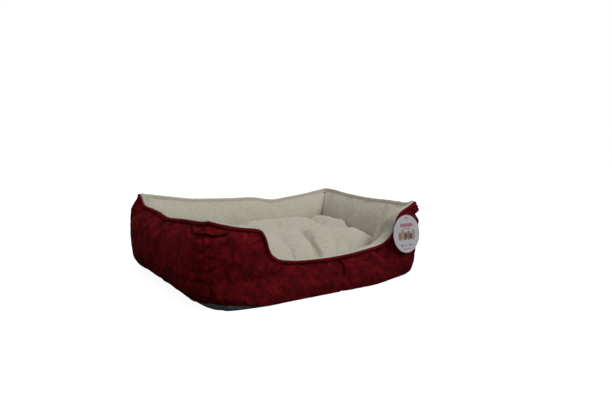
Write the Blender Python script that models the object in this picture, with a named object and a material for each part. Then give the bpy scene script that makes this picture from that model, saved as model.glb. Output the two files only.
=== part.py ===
"""Rectangular pet bed: stuffed walls with a low entry, a loose cushion and a round hang tag.

Metres, +Z up. The origin is the middle of the underside and the entry faces -Y. Each wall is an
outer panel, a filling and a lining, which meet in a flat flange along the rim. Sections of a wall
are drawn in the plane (out, z), where out is the distance outward from the rim line, and are then
placed along their side by place(), which also rounds the corners of the plan.
"""

import math

import bmesh
import bpy
from mathutils import Matrix, Vector

# Plan of the rim line, where the outer fabric and the lining are sewn together
RIM_LENGTH = 0.584
RIM_WIDTH = 0.384
CORNER_RADIUS = 0.055
EAR_POINT = 0.6  # how far the corners lose their rounding at the rim, from 0 to 1
EAR_FLARE = 0.008  # how far the rim leans out at its corners

# Rim heights above the floor
EAR_HEIGHTS = {"front_left": 0.174, "front_right": 0.189, "back_right": 0.182, "back_left": 0.183}
WALL_HEIGHTS = {"front": 0.152, "right": 0.178, "back": 0.158, "left": 0.151}
RIGHT_SHOULDER_HEIGHT = 0.164  # front wall, between the entry and the right corner
EAR_REACHES = {"front": 0.045, "right": 0.080, "back": 0.070, "left": 0.050}
ENTRY_HEIGHT = 0.065
ENTRY_FROM_LEFT = 0.142  # from each corner to the middle of the slope at that end of the entry
ENTRY_FROM_RIGHT = 0.072
ENTRY_SLOPE = 0.060  # length along X of each slope

# Section of a wall
BULGES = {"front": 0.018, "right": 0.028, "back": 0.028, "left": 0.030}
CORNER_BULGE = 0.022
BULGE_WALL = 0.160  # the height of wall that bulges by that much
FOOT_OUT = 0.008  # how far the wall's foot stands outside the rim line
FRONT_LEAN = 0.034  # how much further out the front's foot stands, below the entry's flange
INNER_FOOT = 0.030  # inward reach of the lining's foot, and its growth with wall height
INNER_FOOT_GROWTH = 0.100
INNER_ROUND = 0.012
FOOT_CURVE = 1.3  # how sharply the outer foot turns in
INNER_CURVE = (3.0, 0.8)  # the powers that shape the lining's way from its foot to the rim
FLANGE_HEIGHT = 0.009
SEAM_POSITION = 0.048  # the front panel's vertical seam, along X

# Materials' thicknesses and clearances
OUTER_FABRIC = 0.0025
SHERPA = 0.0040
BASE_FABRIC = 0.0025
WADDING = 0.0075
GAP = 0.0004
CUSHION_CLEARANCE = 0.003

# Loose cushion
CUSHION_CORNER = 0.038
LEAST_CORNER = 0.006
CUSHION_LIP = 0.006  # width of the sewn edge
CUSHION_SEAM_HEIGHT = 0.030  # above the floor lining
CUSHION_TOP = 0.084  # above the floor lining, at the middle
CUSHION_SHOULDER = 0.046  # plan width of the rounded shoulder
LIP_TURN = 0.6  # where the inner face leaves the sewn edge, as a share of the thickness
CUSHION_TILT = 0.13  # how much higher the back is than the middle, as a share

# Hang tag and its plastic pin
TAG_RADIUS = 0.0485
TAG_THICKNESS = 0.0006
TAG_HOLE_RADIUS = 0.0025
TAG_HOLE_INSET = 0.0070  # from the card's edge to the hole's centre
TAG_FROM_CORNER = 0.0415  # from the right corner to the card's middle
TAG_HOLE_HEIGHT = 0.1505
TAG_STANDOFF = 0.0070  # from the wall to the hole
TAG_CLEARANCE = 0.0012
PIN_RADIUS = 0.0005
PIN_HOLE_RADIUS = 0.0009
PIN_BAR_LENGTH = 0.0080
PIN_ANCHOR_LENGTH = 0.0060
PIN_HEAD_GAP = 0.0040  # from the card to the bar in front of it
POCKET_RADIUS = 0.0040
POCKET_DEPTH = 0.0030
BAR_RADIUS = 0.0006
CUTTER = 0.0100  # how far a cutter reaches past the surface that it cuts

# How finely the walls are divided
SECTION_STEPS = (0.0, 0.20, 0.45, 0.70, 0.87, 0.95, 1.0)
STRAIGHT_SPACING = 0.050
CORNER_SPACING = 0.014
SLOPE_SPACING = 0.013
SLOPE_REACH = 0.6  # how far past a slope's middle its close sections go, as a share of its length

HALF_LENGTH = RIM_LENGTH / 2
HALF_WIDTH = RIM_WIDTH / 2
ENTRY_LEFT = ENTRY_FROM_LEFT - HALF_LENGTH
ENTRY_RIGHT = HALF_LENGTH - ENTRY_FROM_RIGHT
TAG_X = HALF_LENGTH - TAG_FROM_CORNER
FRONT_LEAN_TOP = ENTRY_HEIGHT - FLANGE_HEIGHT - SHERPA
WALL_BOTTOM = BASE_FABRIC + GAP
FLOOR_TOP = WALL_BOTTOM + WADDING + GAP + SHERPA
CORNERS_OF = {
    "front": ("front_left", "front_right"),
    "right": ("front_right", "back_right"),
    "back": ("back_right", "back_left"),
    "left": ("back_left", "front_left"),
}


def make_material(name, colour, roughness):
    material = bpy.data.materials.new(name)
    material.use_nodes = True
    shader = material.node_tree.nodes["Principled BSDF"]
    shader.inputs["Base Color"].default_value = (*colour, 1.0)
    shader.inputs["Roughness"].default_value = roughness
    shader.inputs["Metallic"].default_value = 0.0
    material.diffuse_color = (*colour, 1.0)
    return material


def object_from(name, vertices, faces, material):
    """A mesh object with its normals out. Every quad is split along the same diagonal, so that
    twisted layers stay parallel."""
    triangles = []
    for face in faces:
        triangles += [(face[0], face[k], face[k + 1]) for k in range(1, len(face) - 1)]
    mesh = bpy.data.meshes.new(name)
    mesh.from_pydata(vertices, [], triangles)
    mesh.validate()
    bm = bmesh.new()
    bm.from_mesh(mesh)
    bmesh.ops.recalc_face_normals(bm, faces=bm.faces)
    if bm.calc_volume(signed=True) < 0:
        bmesh.ops.reverse_faces(bm, faces=bm.faces)
    bm.to_mesh(mesh)
    bm.free()
    mesh.materials.append(material)
    mesh.shade_smooth()
    mesh.set_sharp_from_angle(angle=math.radians(35))
    obj = bpy.data.objects.new(name, mesh)
    bpy.context.collection.objects.link(obj)
    return obj


def smoothstep(value):
    value = min(1.0, max(0.0, value))
    return value * value * (3 - 2 * value)


# The wall's shape


def half_sizes(side):
    """Half the side's own length, and its distance from the middle."""
    if side in ("front", "back"):
        return HALF_LENGTH, HALF_WIDTH
    return HALF_WIDTH, HALF_LENGTH


def ear_share(side, distance):
    return math.exp(-((distance / EAR_REACHES[side]) ** 2))


def rim_height(side, along):
    half = half_sizes(side)[0]
    wall = WALL_HEIGHTS[side]
    if side == "front" and along > (ENTRY_LEFT + ENTRY_RIGHT) / 2:
        wall = RIGHT_SHOULDER_HEIGHT
    first, last = (EAR_HEIGHTS[corner] for corner in CORNERS_OF[side])
    height = wall + (first - wall) * ear_share(side, half + along)
    height += (last - wall) * ear_share(side, half - along)
    if side == "front":
        outside = max(ENTRY_LEFT - along, along - ENTRY_RIGHT) / ENTRY_SLOPE + 0.5
        height = ENTRY_HEIGHT + (height - ENTRY_HEIGHT) * smoothstep(outside)
    return height


def rim_out(side, along):
    half = half_sizes(side)[0]
    return EAR_FLARE * (ear_share(side, half + along) + ear_share(side, half - along))


def outer_line(side, share):
    """The outer fabric's outer face at one section, from foot to rim."""
    along = share * half_sizes(side)[0]
    top = rim_height(side, along)
    seam = rim_out(side, along) + GAP / 2 + OUTER_FABRIC
    bulge = CORNER_BULGE + (BULGES[side] - CORNER_BULGE) * (1 - share**4)
    bulge *= top / BULGE_WALL
    flange = top - FLANGE_HEIGHT
    line = []
    for step in SECTION_STEPS:
        out = seam + (FOOT_OUT - seam) * (1 - step) ** FOOT_CURVE + bulge * math.sin(math.pi * step)
        line.append((out, WALL_BOTTOM + (flange - WALL_BOTTOM) * step))
    return line + [(seam, top)]


def inner_reach(height):
    return INNER_FOOT + INNER_FOOT_GROWTH * height


def inner_line(side, share):
    """The lining's inner face at one section: upright past the floor, then round to the rim."""
    along = share * half_sizes(side)[0]
    top = rim_height(side, along)
    seam = rim_out(side, along) - GAP / 2 - SHERPA
    reach = inner_reach(top)
    flange = top - FLANGE_HEIGHT
    line = [(-reach, WALL_BOTTOM)]
    for outer_step in SECTION_STEPS[1:]:
        step = (outer_step - SECTION_STEPS[1]) / (1 - SECTION_STEPS[1])
        out = seam - (reach + seam) * (1 - step**INNER_CURVE[0]) ** INNER_CURVE[1]
        out -= INNER_ROUND * math.sin(math.pi * step)
        line.append((out, FLOOR_TOP + (flange - FLOOR_TOP) * step))
    return line + [(seam, top)]


def offset_line(line, distance):
    """The line moved to the left of its own direction; its first point keeps its height."""
    points = [Vector(point) for point in line]
    steps = [(b - a).normalized() for a, b in zip(points, points[1:])]
    sideways = [Vector((-step.y, step.x)) for step in steps]
    moved = [points[0] + sideways[0] * distance]
    for index in range(1, len(points) - 1):
        middle = (sideways[index - 1] + sideways[index]).normalized()
        moved.append(points[index] + middle * distance / middle.dot(sideways[index]))
    moved.append(points[-1] + sideways[-1] * distance)
    moved[0] += steps[0] * (points[0].y - moved[0].y) / steps[0].y
    return [tuple(point) for point in moved]


def place(side, share, shift, out, height):
    """The point of a section in space, with the plan's corners rounded less towards the rim
    and the front's foot brought forward."""
    half, across = half_sizes(side)
    along = share * (half + out - GAP / 2) + shift
    far = across + out
    end, centre = half - CORNER_RADIUS, across - CORNER_RADIUS
    past_end, past_centre = abs(along) - end, far - centre
    if past_end > 0 and past_centre > 0:
        to_rim = height / rim_height(side, share * half)
        rounding = 1 - EAR_POINT * min(1.0, to_rim) ** 4
        circle = max(past_end, past_centre) / math.hypot(past_end, past_centre)
        factor = 1 + rounding * (circle - 1)
        along = math.copysign(end + past_end * factor, along)
        far = centre + past_centre * factor
    turned = {
        "front": (along, -far),
        "right": (far, along),
        "back": (-along, far),
        "left": (-far, -along),
    }
    x, y = turned[side]
    forward = smoothstep((-y - HALF_WIDTH + INNER_FOOT) / INNER_FOOT)
    low = max(0.0, 1 - height / FRONT_LEAN_TOP) ** FOOT_CURVE
    return (x, y - FRONT_LEAN * forward * low, height)


def spaced(start, end, spacing):
    count = max(1, round((end - start) / spacing))
    return [start + (end - start) * index / count for index in range(count)]


def stations(side):
    """Where sections are taken, from -1 to 1 along the side, closer at corners and slopes."""
    half = half_sizes(side)[0]
    end = half - CORNER_RADIUS
    marks = [(-half, CORNER_SPACING), (-end, STRAIGHT_SPACING)]
    if side == "front":
        reach = SLOPE_REACH * ENTRY_SLOPE
        slope_end = min(ENTRY_RIGHT + reach, half - CORNER_SPACING)
        marks = [
            (-half, CORNER_SPACING),
            (-end, STRAIGHT_SPACING),
            (ENTRY_LEFT - reach, SLOPE_SPACING),
            (ENTRY_LEFT + reach, STRAIGHT_SPACING),
            (SEAM_POSITION, STRAIGHT_SPACING),
            (ENTRY_RIGHT - reach, SLOPE_SPACING),
            (slope_end, CORNER_SPACING),
        ]
    else:
        marks.append((end, CORNER_SPACING))
    marks.append((half, None))
    alongs = []
    for (start, spacing), (stop, _) in zip(marks, marks[1:]):
        alongs += spaced(start, stop, spacing)
    return [along / half for along in alongs] + [1.0]


# Closed bodies


def loft(name, sections, material):
    """A closed body from sections, each a list of (point on one face, point on the other)."""
    count = len(sections[0])
    vertices = [point for section in sections for pair in section for point in pair]

    def at(section, row, face):
        return (section * count + row) * 2 + face

    faces = []
    for i in range(len(sections) - 1):
        for j in range(count - 1):
            for face in (0, 1):
                faces.append(
                    (at(i, j, face), at(i + 1, j, face), at(i + 1, j + 1, face), at(i, j + 1, face))
                )
        for j in (0, count - 1):
            faces.append((at(i, j, 0), at(i + 1, j, 0), at(i + 1, j, 1), at(i, j, 1)))
    for i in (0, len(sections) - 1):
        for j in range(count - 1):
            faces.append((at(i, j, 0), at(i, j + 1, 0), at(i, j + 1, 1), at(i, j, 1)))
    return object_from(name, vertices, faces, material)


def rings_body(name, rings, material):
    """A closed body from rings of equal length, closed at both ends by fans."""
    count = len(rings[0])
    vertices = [point for ring in rings for point in ring]
    faces = []
    for i in range(len(rings) - 1):
        for j in range(count):
            k = (j + 1) % count
            faces.append((i * count + j, i * count + k, (i + 1) * count + k, (i + 1) * count + j))
    for ring in (0, len(rings) - 1):
        centre = sum((Vector(point) for point in rings[ring]), Vector()) / count
        vertices.append(tuple(centre))
        for j in range(count):
            faces.append((ring * count + j, ring * count + (j + 1) % count, len(vertices) - 1))
    return object_from(name, vertices, faces, material)


def wall_part(name, side, shares, shifts, line_pair, material):
    sections = []
    for share, shift in zip(shares, shifts):
        one, other = line_pair(side, share)
        sections.append(
            [
                (place(side, share, shift, *a), place(side, share, shift, *b))
                for a, b in zip(one, other)
            ]
        )
    return loft(name, sections, material)


def outer_lines(side, share):
    line = outer_line(side, share)
    return line, offset_line(line, OUTER_FABRIC)


def lining_lines(side, share):
    line = inner_line(side, share)
    return line, offset_line(line, -SHERPA)


def fill_lines(side, share):
    """The filling's two sides, which stop short of the flange."""
    outside = offset_line(outer_line(side, share), OUTER_FABRIC + GAP)
    inside = offset_line(inner_line(side, share), -SHERPA - GAP)
    return outside[:-2], inside[:-2]


def build_walls(outer, sherpa, fibre):
    for side in CORNERS_OF:
        shares = stations(side)
        still = [0.0] * len(shares)
        if side == "front":
            seam = min(range(len(shares)), key=lambda i: abs(shares[i] - SEAM_POSITION / HALF_LENGTH))
            left, right = shares[: seam + 1], shares[seam:]
            left_shift = [0.0] * seam + [-GAP / 2]
            right_shift = [GAP / 2] + [0.0] * (len(right) - 1)
            wall_part("outer_front_left_panel", side, left, left_shift, outer_lines, outer)
            wall_part("outer_front_right_panel", side, right, right_shift, outer_lines, outer)
        else:
            wall_part(f"outer_{side}_panel", side, shares, still, outer_lines, outer)
        wall_part(f"lining_{side}", side, shares, still, lining_lines, sherpa)
        wall_part(f"fill_{side}", side, shares, still, fill_lines, fibre)


# Floor


def plan_outline(line_of, inset):
    """The foot of a wall line round all four sides, as points of the plan."""
    outline = []
    for side in CORNERS_OF:
        for share in stations(side)[:-1]:
            out = line_of(side, share)[0][0] - inset
            outline.append(place(side, share, 0.0, out, WALL_BOTTOM)[:2])
    return outline


def plate(name, outline, bottom, top, material):
    rings = [[(x, y, height) for x, y in outline] for height in (bottom, top)]
    return rings_body(name, rings, material)


def build_floor(base, sherpa, wadding):
    plate("base_panel", plan_outline(outer_line, 0.0), 0.0, BASE_FABRIC, base)
    inside = plan_outline(inner_line, GAP)
    plate("base_wadding", inside, WALL_BOTTOM, WALL_BOTTOM + WADDING, wadding)
    plate("floor_lining", inside, FLOOR_TOP - SHERPA, FLOOR_TOP, sherpa)


# Loose cushion


def rounded_rectangle(half_x, half_y, radius):
    """Points round a rounded rectangle, with more along its straight edges than its corners."""
    points = []
    for quarter in range(4):
        sign_x, sign_y = ((1, 1), (-1, 1), (-1, -1), (1, -1))[quarter]
        centre = Vector((sign_x * (half_x - radius), sign_y * (half_y - radius)))
        for step in range(6):
            angle = math.radians(90 * quarter + 18 * step)
            points.append(centre + radius * Vector((math.cos(angle), math.sin(angle))))
        following = ((-1, 1), (-1, -1), (1, -1), (1, 1))[quarter]
        other = Vector((following[0] * (half_x - radius), following[1] * (half_y - radius)))
        edge = math.radians(90 * quarter + 90)
        other += radius * Vector((math.cos(edge), math.sin(edge)))
        last = points[-1]
        for share in (0.25, 0.5, 0.75):
            points.append(last + (other - last) * share)
    return points


def shoulder(height, sign):
    """The cushion's face from its sewn edge to its flat part, as (inset, z above its seam)."""
    start = sign * (GAP / 2 + SHERPA)
    line = [(0.0, start), (CUSHION_LIP, start)]
    for angle in (18, 40, 65, 90):
        turn = math.radians(angle)
        inset = CUSHION_LIP + CUSHION_SHOULDER * (1 - math.cos(turn))
        line.append((inset, start + (height * sign - start) * math.sin(turn)))
    return line


def inward(line, distance, sign):
    """The shoulder line moved into the cushion, level at its edge and at its flat part."""
    moved = [(line[0][0], line[0][1] - sign * distance)]
    inner = offset_line(line[1:], -sign * distance)
    moved.append((line[1][0] + distance * LIP_TURN, line[1][1] - sign * distance))
    moved += inner[1:]
    return moved


def cushion_ring(inset, height, centre_y, half_x, half_y):
    radius = max(CUSHION_CORNER - inset, LEAST_CORNER)
    ring = []
    for point in rounded_rectangle(half_x - inset, half_y - inset, radius):
        lean = 1 + CUSHION_TILT * point.y / half_y if height > 0 else 1.0
        z = FLOOR_TOP + CUSHION_SEAM_HEIGHT + height * lean
        ring.append((point.x, point.y + centre_y, z))
    return ring


def build_cushion(sherpa, fibre):
    tallest = max(*EAR_HEIGHTS.values(), *WALL_HEIGHTS.values())
    margin = inner_reach(tallest) + INNER_ROUND + CUSHION_CLEARANCE
    front_margin = inner_reach(RIGHT_SHOULDER_HEIGHT) + INNER_ROUND + CUSHION_CLEARANCE
    half_x = HALF_LENGTH - margin
    back, front = HALF_WIDTH - margin, -(HALF_WIDTH - front_margin)
    centre_y, half_y = (back + front) / 2, (back - front) / 2
    rise = CUSHION_TOP - CUSHION_SEAM_HEIGHT
    drop = CUSHION_SEAM_HEIGHT - GAP

    def rings(line):
        return [cushion_ring(inset, z, centre_y, half_x, half_y) for inset, z in line]

    top, bottom = shoulder(rise, 1), shoulder(drop, -1)
    for name, line, sign in (("cushion_top", top, 1), ("cushion_bottom", bottom, -1)):
        inside = inward(line, SHERPA, sign)
        rings_body(name, rings(line[::-1]) + rings(inside), sherpa)
    fill_top = inward(top, SHERPA + GAP, 1)[2:]
    fill_bottom = inward(bottom, SHERPA + GAP, -1)[2:]
    rings_body("cushion_fill", rings(fill_top[::-1]) + rings(fill_bottom), fibre)


# Hang tag


def cylinder(name, radius, start, end, sides, material=None):
    """A closed cylinder between two points."""
    start, end = Vector(start), Vector(end)
    bm = bmesh.new()
    turn = (end - start).to_track_quat("Z", "Y").to_matrix().to_4x4()
    bmesh.ops.create_cone(
        bm,
        cap_ends=True,
        segments=sides,
        radius1=radius,
        radius2=radius,
        depth=(end - start).length,
        matrix=Matrix.Translation((start + end) / 2) @ turn,
    )
    mesh = bpy.data.meshes.new(name)
    bm.to_mesh(mesh)
    bm.free()
    if material:
        mesh.materials.append(material)
    obj = bpy.data.objects.new(name, mesh)
    bpy.context.collection.objects.link(obj)
    return obj


def combine(target, helper, operation):
    helper.hide_render = True
    helper.display_type = "WIRE"
    modifier = target.modifiers.new(helper.name, "BOOLEAN")
    modifier.operation = operation
    modifier.solver = "EXACT"
    modifier.object = helper


def wall_face(x, z, panels):
    """The Y of the wall's outer face, looking along +Y, or None where there is no wall."""
    hits = []
    for panel in panels:
        found, point, _, _ = panel.ray_cast(Vector((x, -1.0, z)), Vector((0.0, 1.0, 0.0)))
        if found:
            hits.append(point.y)
    return min(hits) if hits else None


def tag_lean(hole, panels):
    """The smallest lean at which the card lies clear of the bulge below its hole."""
    slope = 0.0
    steps = [index / 8 for index in range(-8, 9)]
    for across in steps:
        for down in steps:
            if math.hypot(across, down) > 1:
                continue
            x = TAG_X + across * TAG_RADIUS
            z = hole.z - TAG_RADIUS + TAG_HOLE_INSET + down * TAG_RADIUS
            face = wall_face(x, z, panels)
            if face is None or hole.z - z < TAG_HOLE_RADIUS:
                continue
            needed = TAG_CLEARANCE + TAG_THICKNESS + hole.y - face
            slope = max(slope, needed / (hole.z - z))
    return math.atan(slope)


def build_tag(card, plastic):
    panels = [bpy.data.objects["outer_front_right_panel"], bpy.data.objects["outer_right_panel"]]
    filling = bpy.data.objects["fill_front"]
    reach = TAG_RADIUS - TAG_HOLE_INSET
    face = wall_face(TAG_X, TAG_HOLE_HEIGHT, panels)
    hole = Vector((TAG_X, face - TAG_STANDOFF, TAG_HOLE_HEIGHT))
    turn = Matrix.Rotation(-tag_lean(hole, panels), 4, "X")

    side = TAG_THICKNESS / 2
    disc = cylinder("hang_tag", TAG_RADIUS, (0, -side, 0), (0, side, 0), 48, card)
    disc.data.transform(Matrix.Translation((0, 0, -reach)))
    punch = cylinder("tag_hole_cutter", TAG_HOLE_RADIUS, (0, -CUTTER, 0), (0, CUTTER, 0), 16)
    for obj in (disc, punch):
        obj.matrix_world = Matrix.Translation(hole) @ turn
    combine(disc, punch, "DIFFERENCE")

    inner = face + OUTER_FABRIC + GAP + PIN_RADIUS
    head = -(PIN_HEAD_GAP + PIN_RADIUS)
    back = inner - hole.y
    anchor = back + POCKET_DEPTH / 2
    pin = cylinder("tag_pin", PIN_RADIUS, (0, head, 0), (0, anchor, 0), 12, plastic)
    bars = (
        ("tag_pin_head_bar", PIN_BAR_LENGTH, head),
        ("tag_pin_anchor_bar", PIN_ANCHOR_LENGTH, anchor),
    )
    for name, length, y in bars:
        bar = cylinder(name, BAR_RADIUS, (-length / 2, y, 0), (length / 2, y, 0), 12)
        bar.location = hole
        combine(pin, bar, "UNION")
    pin.location = hole

    pocket_end = OUTER_FABRIC + GAP + POCKET_DEPTH
    eyelet = cylinder("pin_hole_cutter", PIN_HOLE_RADIUS, (0, -CUTTER, 0), (0, CUTTER, 0), 12)
    pocket = cylinder("pin_pocket_cutter", POCKET_RADIUS, (0, -CUTTER, 0), (0, pocket_end, 0), 16)
    for obj in (eyelet, pocket):
        obj.location = (TAG_X, face, TAG_HOLE_HEIGHT)
    combine(panels[0], eyelet, "DIFFERENCE")
    combine(filling, pocket, "DIFFERENCE")


def main():
    for obj in list(bpy.data.objects):
        bpy.data.objects.remove(obj, do_unlink=True)
    outer = make_material("red_microsuede", (0.16, 0.008, 0.014), 0.85)
    sherpa = make_material("cream_sherpa", (0.62, 0.57, 0.42), 0.95)
    fibre = make_material("white_fibre", (0.85, 0.85, 0.83), 0.95)
    wadding = make_material("wadding", (0.75, 0.75, 0.72), 0.95)
    base = make_material("grey_nonslip", (0.07, 0.07, 0.075), 0.80)
    card = make_material("printed_card", (0.78, 0.72, 0.72), 0.45)
    plastic = make_material("clear_plastic", (0.85, 0.85, 0.85), 0.30)
    build_walls(outer, sherpa, fibre)
    build_floor(base, sherpa, wadding)
    build_cushion(sherpa, fibre)
    build_tag(card, plastic)


main()
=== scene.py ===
"""Looks of the pet bed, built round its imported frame. Metres, +Z up, entry towards -Y.

Each wall is drawn as strips that run from the rim down to the floor. A strip starts at a point of
the rim, crosses the sewn flange and follows the stuffed fabric to its foot. Sections are given as
(out, height) from the rim line and place() turns them to their side and rounds the corners.
"""

import math

import bmesh
import bpy
import numpy as np
from mathutils import Matrix, Vector


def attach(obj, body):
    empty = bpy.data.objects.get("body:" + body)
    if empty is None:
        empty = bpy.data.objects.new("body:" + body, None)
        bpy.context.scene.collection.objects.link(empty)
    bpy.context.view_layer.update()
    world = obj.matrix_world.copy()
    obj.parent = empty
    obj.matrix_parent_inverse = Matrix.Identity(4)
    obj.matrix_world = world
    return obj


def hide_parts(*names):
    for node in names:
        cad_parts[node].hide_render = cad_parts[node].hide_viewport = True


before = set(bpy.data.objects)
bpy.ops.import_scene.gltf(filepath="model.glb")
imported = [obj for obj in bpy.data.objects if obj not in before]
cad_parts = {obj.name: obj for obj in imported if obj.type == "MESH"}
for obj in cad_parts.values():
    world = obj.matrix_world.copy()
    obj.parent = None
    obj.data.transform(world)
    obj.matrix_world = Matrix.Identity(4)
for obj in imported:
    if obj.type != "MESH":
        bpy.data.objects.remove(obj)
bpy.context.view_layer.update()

# The frame's plan, as in the CAD
HALF_LENGTH = 0.292
HALF_WIDTH = 0.192
CORNER_RADIUS = 0.055
# How much less the corners are rounded at the rim
EAR_POINT = 0.6
# How far the front wall's foot stands out, how far back that reaches and how high
FRONT_LEAN = 0.047
LEAN_REACH = 0.055
FRONT_LEAN_TOP = 0.052
WALL_BOTTOM = 0.0006
FLOOR_TOP = 0.0148
SEAM_X = 0.040
FLANGE = 0.008
COVER_THICKNESS = 0.0016
FLEECE_THICKNESS = 0.0030
# How high the outer fabric's foot lifts at the front left corner
FOOT_LIFT = 0.0105
BASE_THICKNESS = 0.0026
# Clearance behind the swinging tag, and the extra round its pin
TAG_CLEARANCE = 0.0030
PIN_CLEARANCE = 0.0055
# How far each side's top leans out at its first and last corner
EAR_FLARES = {
    "front": (0.008, 0.008),
    "right": (0.008, 0.016),
    "back": (0.016, 0.015),
    "left": (0.015, 0.008),
}
# How far the front left corner's seam lies round the corner, on the front
SEAM_ROUND = 0.010
# How far the back right corner is pulled to the right
BACK_RIGHT_PULL = 0.009
# Where the tag hangs on its pin, and the angles it swings to, in degrees
TAG_HINGE = np.array([0.2505, -0.2070, 0.1505])
TAG_SWINGS = range(-50, 21, 10)
# The camera: place, then yaw, pitch and roll in degrees, and lens in millimetres
CAMERA_PLACE = (-0.701, -1.048, 0.340)
CAMERA_ANGLES = (36.79, 7.59, 2.56)
CAMERA_LENS = 28.77
SIDES = ("front", "right", "back", "left")
HALVES = {
    "front": (HALF_LENGTH, HALF_WIDTH),
    "right": (HALF_WIDTH, HALF_LENGTH),
    "back": (HALF_LENGTH, HALF_WIDTH),
    "left": (HALF_WIDTH, HALF_LENGTH),
}

# Rim heights: (distance along the side, height), each side taken anticlockwise from above
RIMS = {
    "front": (
        (-0.292, 0.174), (-0.262, 0.166), (-0.220, 0.156), (-0.186, 0.151), (-0.171, 0.144),
        (-0.160, 0.126), (-0.152, 0.103), (-0.139, 0.087), (-0.113, 0.076), (-0.050, 0.069),
        (0.050, 0.069),
        (0.130, 0.076), (0.190, 0.087), (0.219, 0.111), (0.227, 0.145), (0.243, 0.166),
        (0.271, 0.178), (0.292, 0.187),
    ),
    "right": (
        (-0.192, 0.189), (-0.165, 0.181), (-0.108, 0.180), (-0.028, 0.177), (0.059, 0.178),
        (0.131, 0.181), (0.192, 0.180),
    ),
    "back": (
        (-0.292, 0.180), (-0.248, 0.172), (-0.201, 0.164), (-0.144, 0.157), (-0.097, 0.152),
        (-0.055, 0.157), (-0.020, 0.161), (0.046, 0.161), (0.108, 0.162), (0.167, 0.164),
        (0.223, 0.171), (0.263, 0.177), (0.292, 0.181),
    ),
    "left": (
        (-0.192, 0.181), (-0.160, 0.159), (-0.109, 0.154), (-0.068, 0.152), (-0.021, 0.148),
        (0.067, 0.158), (0.150, 0.167), (0.192, 0.174),
    ),
}  # fmt: skip

# Sections: across the flange (share of its height from the rim, out) and down the wall (share, out)
OUTER_FLANGE = (
    (-0.02, 0.0002), (-0.10, 0.0014), (-0.06, 0.0034), (0.16, 0.0054), (0.45, 0.0062),
    (0.72, 0.0052), (0.92, 0.0030), (1.0, 0.0012),
)  # fmt: skip
OUTER_WALL = (
    (0.0, 0.0012), (0.006, 0.0048), (0.03, 0.0090), (0.10, 0.0160), (0.22, 0.0240), (0.42, 0.0300),
    (0.65, 0.0325), (0.84, 0.0295), (0.95, 0.0190), (1.0, 0.0075),
)  # fmt: skip
LINING_FLANGE = (
    (-0.06, -0.0002), (-0.28, -0.0018), (-0.30, -0.0044), (0.02, -0.0066), (0.50, -0.0074),
    (0.85, -0.0077), (1.0, -0.0080),
)  # fmt: skip
LINING_WALL = (
    (0.0, -0.0080), (0.012, -0.0096), (0.04, -0.0134), (0.11, -0.0210), (0.22, -0.0330),
    (0.36, -0.0440), (0.52, -0.0500), (0.76, -0.0510), (1.0, -0.0460),
)  # fmt: skip


# Curves and noise


def smooth(value):
    value = np.clip(value, 0.0, 1.0)
    return value * value * (3 - 2 * value)


def bump(distance, width):
    return np.exp(-((distance / width) ** 2))


def spline(knots, steps=24):
    """A smooth curve through the knots, as closely spaced points."""
    knots = np.array(knots, float)
    padded = np.vstack([2 * knots[0] - knots[1], knots, 2 * knots[-1] - knots[-2]])
    t = np.linspace(0, 1, steps, endpoint=False)[:, None]
    parts = []
    for a, b, c, d in zip(padded, padded[1:], padded[2:], padded[3:]):
        part = 2 * b + (c - a) * t + (2 * a - 5 * b + 4 * c - d) * t**2 + (3 * b - a - 3 * c + d) * t**3
        parts.append(0.5 * part)
    return np.vstack([*parts, knots[-1:]])


def even(points, spacing, weights=(1.0, 1.0)):
    """The curve resampled at an even spacing, measured with its two axes weighted."""
    steps = np.linalg.norm(np.diff(points, axis=0) * np.array(weights), axis=1)
    length = np.concatenate([[0], np.cumsum(steps)])
    count = max(2, round(length[-1] / spacing))
    at = np.linspace(0, length[-1], count + 1)
    return np.stack([np.interp(at, length, points[:, k]) for k in range(points.shape[1])], 1)


def noise(points, size, seed):
    """Smooth noise in space, from about -1 to 1, with features of that size."""
    scaled = points / size + seed * 17.31
    cell = np.floor(scaled).astype(np.int64)
    part = scaled - cell
    blend = part**3 * (part * (part * 6 - 15) + 10)
    total = np.zeros(len(points))
    for corner in range(8):
        step = np.array([corner & 1, corner >> 1 & 1, corner >> 2 & 1])
        at = cell + step
        code = (at[:, 0] * 73856093 ^ at[:, 1] * 19349663 ^ at[:, 2] * 83492791) & 0xFFFFFFFF
        code = (code ^ code >> 13) * 1274126177 & 0xFFFFFFFF
        code = (code ^ code >> 15) * 2246822519 & 0xFFFFFFFF
        slope = np.stack([(code >> shift & 1023) / 511.5 - 1 for shift in (0, 10, 20)], 1)
        weight = np.prod(np.where(step, blend, 1 - blend), axis=1)
        total += weight * ((part - step) * slope).sum(1)
    return total * 1.6


# Walls


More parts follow.
